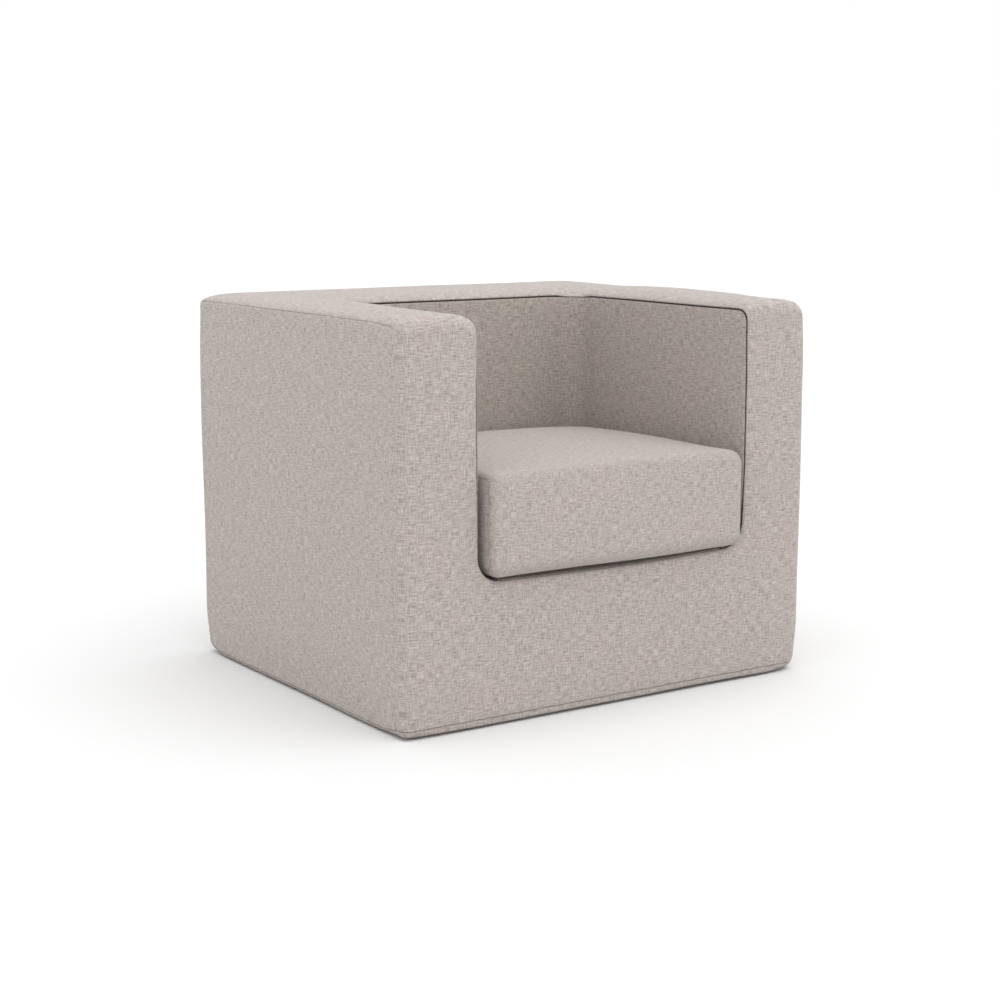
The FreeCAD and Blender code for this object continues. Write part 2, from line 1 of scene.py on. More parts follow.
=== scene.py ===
import math
import bmesh
import bpy
import numpy as np
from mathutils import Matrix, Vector


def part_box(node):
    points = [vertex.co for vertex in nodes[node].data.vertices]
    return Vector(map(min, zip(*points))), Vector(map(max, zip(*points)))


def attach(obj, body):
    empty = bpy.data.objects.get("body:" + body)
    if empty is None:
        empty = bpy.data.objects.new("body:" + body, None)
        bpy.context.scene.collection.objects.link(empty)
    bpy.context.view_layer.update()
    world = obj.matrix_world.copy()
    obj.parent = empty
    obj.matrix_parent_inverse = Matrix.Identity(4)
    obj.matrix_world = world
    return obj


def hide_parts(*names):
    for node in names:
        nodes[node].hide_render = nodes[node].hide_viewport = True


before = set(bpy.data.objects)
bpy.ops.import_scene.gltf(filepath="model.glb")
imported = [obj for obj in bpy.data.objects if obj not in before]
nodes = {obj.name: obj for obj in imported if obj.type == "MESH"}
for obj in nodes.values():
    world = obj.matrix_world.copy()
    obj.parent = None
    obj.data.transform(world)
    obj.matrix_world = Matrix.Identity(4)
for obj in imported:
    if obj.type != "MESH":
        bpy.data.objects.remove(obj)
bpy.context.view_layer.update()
print("frame loaded:", len(nodes), "nodes")

# Lengths below are millimetres; meshes are made in metres.
# Front faces -Y, left is -X, Z is up.


def nodeBox(name):  # a CAD node's lowest and highest corner
    low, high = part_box(name)
    return np.array(low) * 1000, np.array(high) * 1000


fit = {
    "lining": 1.2,  # thickness of the cloth over the inner foam
    "foamGives": 1.5,  # the arms' inner foam, pressed in
    "innerTopRise": 2,
    "outerTopRise": 1,
}
half = nodeBox("side_cover_right")[1][0]
front, rear = nodeBox("front_and_top_cover")[0][1], nodeBox("rear_cover")[1][1]
bottom, deck = nodeBox("bottom_cover")[0][2], nodeBox("deck_cloth")[1][2]
inner = nodeBox("arm_inner_foam_right")[0][0] - fit["lining"] + fit["foamGives"]
wall = nodeBox("back_inner_foam")[0][1] - fit["lining"]
innerTop = nodeBox("inner_lining")[1][2] + fit["lining"] + fit["innerTopRise"]  # the inner seam's height
outerTop = nodeBox("side_cover_right")[1][2] + fit["outerTopRise"]

bodyShape = {
    "cornerRadius": 16,  # the upright corners
    "rearCornerRadius": 10,
    "foldRadius": 15,  # where the arm fronts fold over into the tops
    "topEdgeRadius": 5,
    "bottomEdgeRadius": 3.5,
    "bottomCornerRadius": 13,
    "leftFootRadius": 6,  # the same at the front left, which is crisper
    "frontFlare": 3,  # added to the front corners' radius at the foot
    "leftFlare": -6,  # and at the front left
    "rearFlare": 7,
    "lipRadius": 4,  # round the seat opening
    "wallCornerRadius": 24,  # between the arms and the back, inside
    "deckCornerRadius": 24,  # between the walls and the deck
    "crown": 10.6,  # of the arm tops
    "backCrown": 8.8,
    "crownRun": 12,  # distance over which a crown rises from its seam
    "frontRun": 16,  # added to the run on the outer side of the arms' front ends
    "cornerBlend": 18,  # how softly the crown turns round the rear corners
    "railSag": 3,
    "ripple": 0.35,
    "waves": (31, 43, 57, 67, -38, 29),
    "phases": (0.7, 1.1, -0.4),
    "frontBulge": 1.8,
    "sideBulge": 1.2,
    "hemFront": 9.5,
    "hemSide": 5.5,
    "hemTurn": 7.5,  # length of the bottom cover's cloth that turns up
}
seam = {
    "cloth": 1.0,  # thickness of the sewn cloth
    "gap": 1.05,  # half the opening of a creased seam
    "flushGap": 0.02,  # and of a flat one
    "roll": 1.5,  # radius of the cloth's turn into a creased seam
    "flushRoll": 0.4,
    "tuck": 5,  # how far a panel goes down past its border
    "dip": 0.8,  # the shallow hollow beside a seam
    "flushDip": 0.2,
    "dipRun": 6,
    "shadeRun": 0.6,  # how far the painted shade inside a creased seam reaches
    "hemCrease": 0.5,
    "wrapOut": 1.6,  # how far the opening's seam lies out on the arm fronts
    "wrapBack": 7.6,  # and how far it goes back again by the deck
    "rowSpread": 2.2,
}
# A panel's outermost rows, as distances in from its border: some past it, then ever wider apart.
edgeSteps = np.array([-1.0, -0.5, -0.2, 0, 0.06, 0.14, 0.25, 0.4, 0.62, 0.95, 1.5, 2.3, 3.5, 5.2])
edgeSteps = np.where(edgeSteps < 0, edgeSteps * seam["tuck"], edgeSteps * seam["rowSpread"])


def smoothStep(value):  # 0 below 0, 1 above 1, with no kink between
    value = np.clip(value, 0, 1)
    return value * value * (3 - 2 * value)


def mixed(a, b, share):  # a at a share of 0, b at 1
    return a + (b - a) * share


def ripple(p, shape):
    # Slow unevenness of the padding: a wave across x times one across y and z, plus a second
    # such pair of other lengths.
    (a, b, c, d, e, f), (first, second, third) = shape["waves"], shape["phases"]
    x, y, z = p[..., 0], p[..., 1], p[..., 2]
    waves = np.sin(x / a + first) * np.sin(y / b + z / c + second)
    return shape["ripple"] * (waves + np.sin(x / d + z / e) * np.sin(y / f + third) - 1)


def roundMax(a, b, radius):
    # The larger of two distances, with a quarter circle of that radius where they meet:
    # the shortest way out of the corner, less the radius.
    over = np.hypot(np.maximum(a + radius, 0), np.maximum(b + radius, 0))
    return np.minimum(np.maximum(a, b), -radius) + over


def softMin(a, b, blend):  # the smaller of two, eased over the blend
    share = np.clip(0.5 + (b - a) / (2 * blend), 0, 1)
    return b + (a - b) * share - blend * share * (1 - share)


def crownHeight(x, y):
    # Height of the tops: a line from the inner seam up to the outer one, plus a crown that
    # rises as one minus an exponential of the distance from either seam.
    outward = np.maximum(softMin(half - x, rear - y, bodyShape["cornerBlend"]), 0)
    inward = np.hypot(np.maximum(x - inner, 0), np.maximum(y - wall, 0))
    share = inward / np.maximum(inward + outward, 1e-6)
    run = bodyShape["crownRun"]
    outerRun = run + bodyShape["frontRun"] * smoothStep((front + 110 - y) / 100)
    rise = (1 - np.exp(-outward / outerRun)) * (1 - np.exp(-inward / run))
    crown = mixed(bodyShape["crown"], bodyShape["backCrown"], smoothStep((y - wall + 60) / 60))
    return mixed(innerTop, outerTop, share) + crown * rise


def hemHeight(y):  # height of the seam round the foot
    nearFront = smoothStep((front + 40 - y) / 30)
    nearRear = smoothStep((y - rear + 40) / 30)
    return mixed(bodyShape["hemSide"], bodyShape["hemFront"], nearFront + nearRear)


def bodyForm(p):
    # Distance outside the upholstered body: outer faces meeting in rounded edges, less the
    # seat opening, whose own corners are hollow rounds.
    x, y, z, shape = np.abs(p[..., 0]), p[..., 1], p[..., 2], bodyShape
    tall = smoothStep(z / 60) * smoothStep((outerTop - z) / 60)
    side = x - half - shape["sideBulge"] * tall
    ahead = front - y - shape["frontBulge"] * tall * smoothStep((x - inner) / 30)
    behind = y - rear
    low = smoothStep((60 - z) / 50)
    left = smoothStep(0.5 - p[..., 0] / 100)
    flare = mixed(shape["frontFlare"], shape["leftFlare"], left)
    plan = roundMax(side, ahead, shape["cornerRadius"] + flare * low)
    plan = roundMax(plan, behind, shape["rearCornerRadius"] + shape["rearFlare"] * low)
    topRadius = mixed(shape["topEdgeRadius"], shape["foldRadius"], smoothStep((ahead + 60) / 36))
    body = roundMax(plan, z - crownHeight(x, y), topRadius)
    corner = smoothStep((side + 50) / 45) * smoothStep((np.maximum(ahead, behind) + 50) / 45)
    frontLeft = left * smoothStep((ahead + 50) / 45)
    cornerFoot = mixed(shape["bottomCornerRadius"], shape["leftFootRadius"], frontLeft)
    body = roundMax(body, bottom - z, mixed(shape["bottomEdgeRadius"], cornerFoot, corner))
    sag = shape["railSag"] * np.clip(1 - (x / inner) ** 2, 0, 1) * smoothStep((ahead + 60) / 60)
    opening = roundMax(x - inner, y - wall, shape["wallCornerRadius"])
    opening = roundMax(opening, deck - sag - z, shape["deckCornerRadius"])
    return roundMax(body, -opening, shape["lipRadius"]) - ripple(p, shape)


def settle(points, form, steps=9):
    # Newton's way onto a surface: each point moves against the form's slope by the form's
    # value over the slope's square. Returns the points and their outward normals.
    reach = 0.02
    axes = np.eye(3) * reach

    def slopeAt(spots):
        return np.stack([form(spots + a) - form(spots - a) for a in axes], -1) / (2 * reach)

    for _ in range(steps):
        slope = slopeAt(points)
        value = np.clip(form(points), -12, 12)
        points = points - (value / np.maximum((slope ** 2).sum(-1), 0.3))[..., None] * slope
    slope = slopeAt(points)
    return points, slope / np.maximum(np.linalg.norm(slope, axis=-1, keepdims=True), 1e-9)


def seamDepth(edge, crease):
    # How far a panel lies under the form at a signed distance from its border: a quarter
    # circle down into the seam, a shallow dip beside it, and straight down past it. crease
    # is 0 at a flat seam and 1 at a creased one.
    roll = mixed(seam["flushRoll"], seam["roll"], crease)
    dip = mixed(seam["flushDip"], seam["dip"], crease)
    inside = np.clip(edge, 0, roll)
    depth = roll - np.sqrt(np.maximum(roll ** 2 - (roll - inside) ** 2, 0))
    depth = depth + dip * np.exp(-np.maximum(edge, 0) / seam["dipRun"])
    return depth + np.maximum(-edge, 0)


def along(knots, distance):
    # Points at a distance along the straight runs between matching knots. Columns after the
    # first three, such as cloth coordinates, are carried along in step.
    here = np.repeat(knots[0][None], distance.shape[0], 0)
    left = distance
    for a, b in zip(knots, knots[1:]):
        length = np.linalg.norm((b - a)[:, :3], axis=-1)
        share = np.clip(left / np.maximum(length, 1e-9), 0, 1)[..., None]
        here = here + share * (b - a)
        left = left - length
    return here


def borderLine(length, spacing):
    # Coordinates from one border to the other, close together by the borders and a little
    # past them, even between.
    inside = edgeSteps[-1]
    count = max(2, int(round((length - 2 * inside) / spacing)))
    middle = np.linspace(inside, length - inside, count + 1)[1:-1]
    return np.concatenate([edgeSteps, middle, (length - edgeSteps)[::-1]])


def rowsAcross(widths, rows):
    # The same across a strip whose width changes from column to column: each column's
    # distances from the first border, and its distances from the nearer one.
    near = np.repeat(edgeSteps[:, None], len(widths), 1)
    between = np.linspace(0, 1, rows)[1:-1, None] * (widths - 2 * edgeSteps[-1]) + edgeSteps[-1]
    distance = np.concatenate([near, between, widths - near[::-1]])
    return distance, np.minimum(distance, widths - distance)


def panelGrid(width, height, spacing, radii):
    # A rectangle with rounded corners on a square grid. In a corner block the square rows
    # turn into rings about the corner's centre, so every row keeps its distance to the
    # border. radii go round from (0, 0). Returns both coordinates and the border distance.
    u, v = np.meshgrid(borderLine(width, spacing), borderLine(height, spacing))
    fromLeft, fromLow = np.minimum(u, width - u), np.minimum(v, height - v)
    edge = np.minimum(fromLeft, fromLow)
    outU, outV = np.clip(u, 0, width), np.clip(v, 0, height)
    isRight, isHigh = u > width / 2, v > height / 2
    for radius, right, high in zip(radii, (False, True, True, False), (False, False, True, True)):
        block = (isRight == right) & (isHigh == high) & (fromLeft < radius) & (fromLow < radius)
        p, q = (radius - fromLeft[block]) / radius, (radius - fromLow[block]) / radius
        ring = np.maximum(p, q)
        angle = math.pi / 4 * np.minimum(p, q) / ring
        angle = np.where(q > p, math.pi / 2 - angle, angle)
        edge[block] = radius * (1 - ring)
        ring = np.minimum(ring, 1)
        awayU, awayV = radius * (1 - ring * np.cos(angle)), radius * (1 - ring * np.sin(angle))
        outU[block] = width - awayU if right else awayU
        outV[block] = height - awayV if high else awayV
    return outU, outV, edge


def newObject(name, data):
    made = bpy.data.objects.new(name, data)
    bpy.context.scene.collection.objects.link(made)
    return made


def asMetres(values):  # flat, as Blender's arrays take them
    return (values * 0.001).astype(np.float32).ravel()


def gridMesh(name, points, weave, shade, ring=False):
    # Quads between neighbouring grid points, with the cloth coordinates as UVs and the seams'
    # painted shade as an attribute.
    rows, columns = points.shape[:2]
    index = np.arange(rows * columns).reshape(rows, columns)
    if ring:
        index = np.concatenate([index, index[:, :1]], 1)
        weave = np.concatenate([weave, weave[:, :1]], 1)
    corners = lambda a: np.stack([a[:-1, :-1], a[:-1, 1:], a[1:, 1:], a[1:, :-1]], 2)
    quads = corners(index).reshape(-1, 4)
    cloth = corners(weave).reshape(-1, 2)
    mesh = bpy.data.meshes.new(name)
    mesh.vertices.add(rows * columns)
    mesh.vertices.foreach_set("co", asMetres(points))
    mesh.loops.add(quads.size)
    mesh.loops.foreach_set("vertex_index", quads.ravel().astype(np.int32))
    mesh.polygons.add(len(quads))
    mesh.polygons.foreach_set("loop_start", np.arange(0, quads.size, 4, dtype=np.int32))
    mesh.polygons.foreach_set("use_smooth", np.ones(len(quads), bool))
    mesh.uv_layers.new(name="weave").data.foreach_set("uv", asMetres(cloth))
    paintedSeamShade = mesh.attributes.new("paintedSeamShade", "FLOAT", "POINT")
    paintedSeamShade.data.foreach_set("value", shade.astype(np.float32).ravel())
    mesh.update(calc_edges=True)
    mesh.validate()
    return newObject(name, mesh)


def sewnPanel(name, start, weave, edge, form, crease=0, ring=False, swell=None):
    # A cover panel: settled on the form, turned down into its seams and given a thickness.
    points, normals = settle(start, form)
    if swell:
        points = points + swell(points)[..., None] * normals
    crease = np.maximum(crease, seam["hemCrease"] * smoothStep((16 - start[..., 2]) / 4))
    # painted shade: the colour darkens inside creased seams and along the hem, where shade falls in the
    # crease
    shade = smoothStep(2 * crease - 0.6) * np.exp(-np.maximum(edge, 0) / seam["shadeRun"])
    points = points - seamDepth(edge, crease)[..., None] * normals
    middle = (points.shape[0] // 2, points.shape[1] // 2)
    across = points[middle[0] + 1, middle[1]] - points[middle]
    onward = points[middle[0], middle[1] + 1] - points[middle]
    if np.dot(np.cross(onward, across), normals[middle]) < 0:  # faces point outwards
        points, weave, shade = points[::-1], weave[::-1], shade[::-1]
    piece = gridMesh(name, points, weave, shade, ring)
    thickness = piece.modifiers.new("cloth", "SOLIDIFY")
    thickness.thickness, thickness.offset = seam["cloth"] * 0.001, -1
    return piece


def openingCurve(v):
    # The seat opening seen from the front, at a length v down from its top: straight down,
    # a quarter circle, then in along the deck. Returns x, z and the outward x and z.
    radius = bodyShape["deckCornerRadius"]
    straight = innerTop - deck - radius
    angle = np.clip((v - straight) / radius, 0, math.pi / 2)
    beyond = np.maximum(v - straight - radius * math.pi / 2, 0)
    x = inner - radius + radius * np.cos(angle) - beyond
    z = np.where(v < straight, innerTop - v, deck + radius - radius * np.sin(angle))
    return x, z, np.cos(angle), -np.sin(angle)


deckSeam = innerTop - deck - bodyShape["deckCornerRadius"] * (1 - math.pi / 2)  # length down to it


def seamWrap(v):  # how far the opening's seam lies out on the front face, or behind the edge
    return seam["wrapOut"] * smoothStep((v - 22) / 58) - seam["wrapBack"] * smoothStep((v - 150) / 125)


topRing = {
    "sideCorner": 14,  # rounding of the side panels' front top corner
    "railEnd": 185,  # how far out the rail's columns reach along the foot
    "armFoot": 92,  # height at which the arm front's columns start
    "wallBend": 32,  # turn of the inner seam between arm and back
    "rearTurn": 130,  # distance from the middle at which the columns start round a rear corner
    "rows": 22,
    "knots": (0.4, 0.7, 0.8, 0.86, 0.92, 0.96, 1),  # shares of the way out from the inner seam
    "rail": 40, "corner": 36, "arm": 56, "fold": 14,  # numbers of columns
    "armTop": 60, "rearCorner": 40, "back": 36,
}


def makeFrontAndTop():
    # One ring of cloth: round the opening, up the arm fronts, over the fold and round the
    # tops. Each column runs from the inner seam to the outer one through matching knots of
    # five numbers: the place, then the cloth coordinates.
    radius, fold, sideCorner = bodyShape["cornerRadius"], bodyShape["foldRadius"], topRing["sideCorner"]
    arc = radius * math.pi / 2
    shares = topRing["knots"]
    straight = innerTop - deck - bodyShape["deckCornerRadius"]

    def span(start, end, count):
        return np.linspace(start, end, count, endpoint=False)

    def footPoint(c):  # a place along the foot of the front, round its corner
        angle = np.clip((c - half + radius) / radius, 0, math.pi / 2)
        x = np.where(c < half - radius, c, half - radius + radius * np.sin(angle))
        return x, front + radius * (1 - np.cos(angle))

    def frontKnots(v, c, z, lift):
        # v: length down the opening; c, z: place on the outer border
        x, low, nx, nz = openingCurve(v)
        wrap = seamWrap(v)
        out = np.maximum(wrap, 0)
        cIn, zIn = x + out * nx, low + out * nz
        back, zero = np.minimum(wrap, 0), np.zeros_like(v)
        knots = [np.stack([cIn, front - back, zIn, cIn, zIn - back - lift], -1),
                 np.stack([cIn, front + zero, zIn, cIn, zIn - lift], -1)]
        for share in shares:
            cHere, zHere = mixed(cIn, c, share), mixed(zIn, z, share)
            px, py = footPoint(cHere)
            knots.append(np.stack([px, py, zHere, cHere, zHere - lift], -1))
        return knots

    liftFront = innerTop - fold
    # rail, lower corner, arm front
    railEnd, armFoot, foot = topRing["railEnd"], topRing["armFoot"], half - radius + arc
    vRail = span(deckSeam + inner - bodyShape["deckCornerRadius"], deckSeam, topRing["rail"])
    cRail = span(0, railEnd, topRing["rail"])
    vCorner, run = span(deckSeam, straight, topRing["corner"]), span(0, 1, topRing["corner"])
    cCorner = np.where(run < 0.5, railEnd + (foot - railEnd) * run * 2, foot)
    vArm = span(straight, fold, topRing["arm"])
    zArm = span(armFoot, outerTop - sideCorner, topRing["arm"])
    hemAt = lambda c: hemHeight(footPoint(c)[1])
    zCorner = mixed(hemAt(cCorner), armFoot, np.clip(run * 2 - 1, 0, 1))
    v = np.concatenate([vRail, vCorner, vArm])
    c = np.concatenate([cRail, cCorner, np.full(topRing["arm"], foot)])
    z = np.concatenate([hemAt(cRail), zCorner, zArm])
    parts = [frontKnots(v, c, z, liftFront)]
    # the fold: an arc on the inner seam and the side panel's rounded corner on the outer one
    turn = span(0, math.pi / 2, topRing["fold"])
    square = np.maximum(np.cos(turn), np.sin(turn))
    share = 1 - turn / (math.pi / 2)
    rim = radius + sideCorner
    edgeY = front + rim * (1 - np.cos(turn) / square)
    edgeZ = outerTop - sideCorner * (1 - np.sin(turn) / square)
    up = fold * turn
    armY, armZ = front + fold * (1 - np.cos(turn)), innerTop - fold * (1 - np.sin(turn))
    sideY, sideZ = front + rim - sideCorner * np.cos(turn), outerTop - sideCorner * (1 - np.sin(turn))
    flat = np.zeros_like(turn)
    first = np.stack([inner + flat, armY, armZ, inner + flat, up], -1)
    knots = [first, first]
    upOut = (outerTop - sideCorner - liftFront) * share + (rim - fold) * (1 - share)
    for lean in np.linspace(0, math.pi / 2, len(shares)):
        s = lean / (math.pi / 2)
        rounded = radius * (1 - math.cos(lean)) * share
        x = half - radius + radius * math.sin(lean) + flat
        y = edgeY + rounded + s * (sideY - edgeY - radius * share)
        c = half - radius + arc * s * (share + (1 - share) * 2 / math.pi)
        reached = up + upOut * (c - inner) / (half - radius + arc - inner)
        knots.append(np.stack([x, y, mixed(edgeZ, sideZ, s), c, reached], -1))
    parts.append(knots)
    # arm top, rear corner, back top: straight runs from seam to seam
    bend, begin = topRing["wallBend"], topRing["rearTurn"]
    armTop, back = topRing["armTop"], topRing["back"]
    turn = span(0, 1, topRing["rearCorner"])
    quarter = turn * math.pi / 2
    xIn = [np.full(armTop, inner), inner - bend + bend * np.cos(quarter), np.linspace(inner - bend, 0, back)]
    yIn = [span(front + fold, wall - bend, armTop), wall - bend + bend * np.sin(quarter), np.full(back, wall)]
    sideRun, rearRun = rear - radius - begin, half - radius - begin
    length = turn * (sideRun + arc + rearRun)
    angle = np.clip((length - sideRun) / radius, 0, math.pi / 2)
    beyond = np.maximum(length - sideRun - arc, 0)
    xCorner = np.where(length < sideRun, half, half - radius + radius * np.cos(angle) - beyond)
    yCorner = np.where(length < sideRun, begin + length, rear - radius + radius * np.sin(angle))
    xOut = [np.full(armTop, half), xCorner, np.linspace(begin, 0, back)]
    yOut = [span(front + rim, begin, armTop), yCorner, np.full(back, rear)]
    xIn, yIn, xOut, yOut = [np.concatenate(run) for run in (xIn, yIn, xOut, yOut)]
    level = lambda x, y, z: np.stack([x, y, z + 0 * x, x, y - front - fold + fold * math.pi / 2], -1)
    first, last = level(xIn, yIn, innerTop), level(xOut, yOut, outerTop)
    parts.append([first, first] + [mixed(first, last, s) for s in shares])
    right = [np.concatenate(runs) for runs in zip(*parts)]
    mirror = np.array([-1, 1, 1, -1, 1])
    knots = [np.concatenate([k, (k[1:-1] * mirror)[::-1]]) for k in right]
    total = sum(np.linalg.norm((b - a)[:, :3], axis=-1) for a, b in zip(knots, knots[1:]))
    width = total - seam["gap"] - seam["flushGap"]
    distance, edge = rowsAcross(width, topRing["rows"])
    grid = along(knots, np.clip(distance, 0, width) + seam["gap"])
    return sewnPanel("frontAndTopCover", grid[..., :3], grid[..., 3:], edge, bodyForm,
                     crease=(distance < width / 2) * 1.0, ring=True)


def makeSideCover(name, way):
    # A flat panel on the outer side, its front top corner rounded.
    gap, radius = seam["flushGap"], bodyShape["cornerRadius"]
    low, high = front + radius + gap, rear - radius - gap
    tall = outerTop - bodyShape["hemSide"] - 2 * gap
    u, v, edge = panelGrid(high - low, tall, 6, (3, 3, 3, topRing["sideCorner"] - gap))
    y = low + u
    z = mixed(hemHeight(y) + gap, outerTop - gap, v / tall)
    start = np.stack([np.full_like(y, way * half), y, z], -1)
    return sewnPanel(name, start, np.stack([-way * y, z], -1), edge, bodyForm)


def makeRearCover():
    # The rear panel, turned round both upright corners as far as the side seams.
    gap, radius = seam["flushGap"], bodyShape["cornerRadius"]
    reach = half - radius + radius * math.pi / 2 - gap
    tall = outerTop - bodyShape["hemSide"] - 2 * gap
    u, v, edge = panelGrid(2 * reach, tall, 6, (3, 3, 3, 3))
    c = u - reach
    angle = np.clip((np.abs(c) - half + radius) / radius, 0, math.pi / 2)
    x = np.sign(c) * (np.minimum(np.abs(c), half - radius) + radius * np.sin(angle))
    y = rear - radius * (1 - np.cos(angle))
    z = mixed(hemHeight(y) + gap, outerTop - gap, v / tall)
    return sewnPanel("rearCover", np.stack([x, y, z], -1), np.stack([c, z], -1), edge, bodyForm)


def makeBottomCover():
    # The underside, turned up all round as a hem: outside the plan's own outline, distance
    # from it becomes height.
    gap, radius, hem = seam["flushGap"], bodyShape["cornerRadius"], bodyShape["hemTurn"]
    wide, deep = 2 * (half + hem), rear - front + 2 * hem
    u, v, edge = panelGrid(wide, deep, 10, [radius + hem] * 4)
    x, y = u - wide / 2, v - deep / 2
    qx, qy = np.abs(x) - (wide / 2 - radius - hem), np.abs(y) - (deep / 2 - radius - hem)
    outX, outY = np.maximum(qx, 0), np.maximum(qy, 0)
    size = np.maximum(np.hypot(outX, outY), 1e-9)
    nx, ny = outX / size, outY / size
    up = np.clip(1 - edge / hem, 0, 1)
    planX = x - np.sign(x) * nx * hem * up
    planY = y - np.sign(y) * ny * hem * up + (front + rear) / 2
    z = bottom + up * (hemHeight(planY) - gap - bottom)
    start = np.stack([planX, planY, z], -1)
    return sewnPanel("bottomCover", start, np.stack([x, y], -1), edge, bodyForm)


def makeLining():
    # The inside of both arms and the back in one: along the wall from front to front, and
    # down from the top seam on to the deck.
    gap, fold, bend = seam["gap"], bodyShape["foldRadius"], topRing["wallBend"]
    side, curve = wall - bend - front, bend * math.pi / 2
    total = 2 * (side + curve) + 2 * (inner - bend)
    u, v, edge = panelGrid(total - 2 * gap, deckSeam - 2 * gap, 5, (fold - gap, fold - gap, 3, 3))
    u, v = u + gap, v + gap
    t = np.minimum(u, total - u)
    way = np.where(u < total / 2, 1, -1)
    t = t - seamWrap(v) * smoothStep((80 - t) / 68)
    x, z, nx, nz = openingCurve(v)
    inset = inner - x
    out = np.maximum(-t, 0)
    angle = np.clip((t - side) / bend, 0, math.pi / 2)
    beyond = np.maximum(t - side - curve, 0)
    px = np.where(t < side, x + out * nx, inner - bend + (bend - inset) * np.cos(angle) - beyond)
    py = np.where(t < side, front + np.maximum(t, 0), wall - bend + (bend - inset) * np.sin(angle))
    start = np.stack([way * px, py, z + out * nz], -1)
    return sewnPanel("innerLining", start, np.stack([u, -v], -1), edge, bodyForm, crease=1)


def makeDeckCloth():
    # The flat cloth under the cushion, its front border a little behind the rail.
    gap = seam["flushGap"]
    wide = 2 * (inner - bodyShape["deckCornerRadius"] - gap)
    low, high = front + 6 + gap, wall - bodyShape["deckCornerRadius"] - gap
    u, v, edge = panelGrid(wide, high - low, 7, (3, 3, 5, 5))
    start = np.stack([u - wide / 2, low + v, np.full_like(u, deck)], -1)
    return sewnPanel("deckCloth", start, np.stack([u, v], -1), edge, bodyForm)


frontAndTop = makeFrontAndTop()
sideLeft, sideRight = makeSideCover("sideCoverLeft", -1), makeSideCover("sideCoverRight", 1)
rearCover, bottomCover = makeRearCover(), makeBottomCover()
lining, deckCloth = makeLining(), makeDeckCloth()
print("body covers made")

cushionShape = {
    "pastLeft": 1.5,  # it sits a little to the left: further out there
    "shortRight": 0.5,  # and further in here
    "sideRadius": (9, 16),  # top edges, left and right
    "frontRadius": 8,
    "rearRadius": 12,
    "frontTopRadius": 9,
    "bottomRadius": 16,
    "crown": 4,
    "topRise": 1,
    "rearDrop": 9,  # fall of the top at the rear, over the run
    "rearRun": 45,
    "frontBulge": 1.5,
    "bulgeReach": 54,  # above and below the middle
    "frontLift": 1.0,  # of the bottom, off the deck
    "ripple": 0.35,
    "waves": (37, 41, math.inf, 71, 33, 23),
    "phases": (0.3, 0.5, 1.9),
    "endInset": 8,  # from the top and bottom to the end panels' seam
    "endInsetY": 11,  # and from the front and rear
    "endCorner": 8,
    "rim": 22,  # from an edge to the first straight column
    "crease": 0.45,
    "slot": 4,  # half height of the opening over the zip
    "slotReach": 127,
    "slotEnd": 4,
    "slotSeam": 0.15,
    "slotRun": 26,  # how far the cloth is pushed aside
}
cushionLow, cushionHigh = nodeBox("cushion_wrap")
cushionLow[0] -= cushionShape["pastLeft"]
cushionHigh[0] -= cushionShape["shortRight"]
cushionMiddle, cushionHalf = (cushionLow[0] + cushionHigh[0]) / 2, (cushionHigh[0] - cushionLow[0]) / 2


def cushionForm(p):
    # A rounded block with a crowned top that falls to the rear, and a slightly full front.
    fromMiddle, shape = p[..., 0] - cushionMiddle, cushionShape
    x, y, z = np.abs(fromMiddle), p[..., 1], p[..., 2]
    across = np.clip(1 - (x / cushionHalf) ** 2, 0, 1)
    middle = (cushionLow[2] + cushionHigh[2]) / 2
    tall = np.clip(1 - ((z - middle) / shape["bulgeReach"]) ** 2, 0, 1)
    full = shape["frontBulge"] * across * tall
    ahead = cushionLow[1] + shape["frontBulge"] - full - y
    behind = y - cushionHigh[1]
    plan = roundMax(x - cushionHalf, ahead, shape["frontRadius"])
    plan = roundMax(plan, behind, shape["rearRadius"])
    drop = shape["rearDrop"] * np.exp(-np.maximum(cushionHigh[1] - y, 0) / shape["rearRun"])
    top = cushionHigh[2] - shape["crown"] * (1 - across) + shape["topRise"] - drop
    near = smoothStep((ahead + 50) / 40) * smoothStep(across * 3)
    sideRadius = mixed(*shape["sideRadius"], smoothStep(0.5 + fromMiddle / 160))
    form = roundMax(plan, z - top, mixed(sideRadius, shape["frontTopRadius"], near))
    lift = shape["frontLift"] * smoothStep((ahead + 60) / 60)
    form = roundMax(form, cushionLow[2] + lift - z, shape["bottomRadius"])
    return form - ripple(p, shape) * smoothStep((cushionHigh[1] - y) / 20)


swellLook = {
    "cuts": 30,
    "size": 0.98,  # of the skin before it is blown up, to the cushion's box
    "pressure": 4,
    "quality": 6,
    "mass": 0.3,
    "frames": 20,
    "most": 1.6,  # the furthest any point may move
    "reach": 7,  # over which movements are averaged
    "zipClear": 2,
    "zipFade": 30,
}


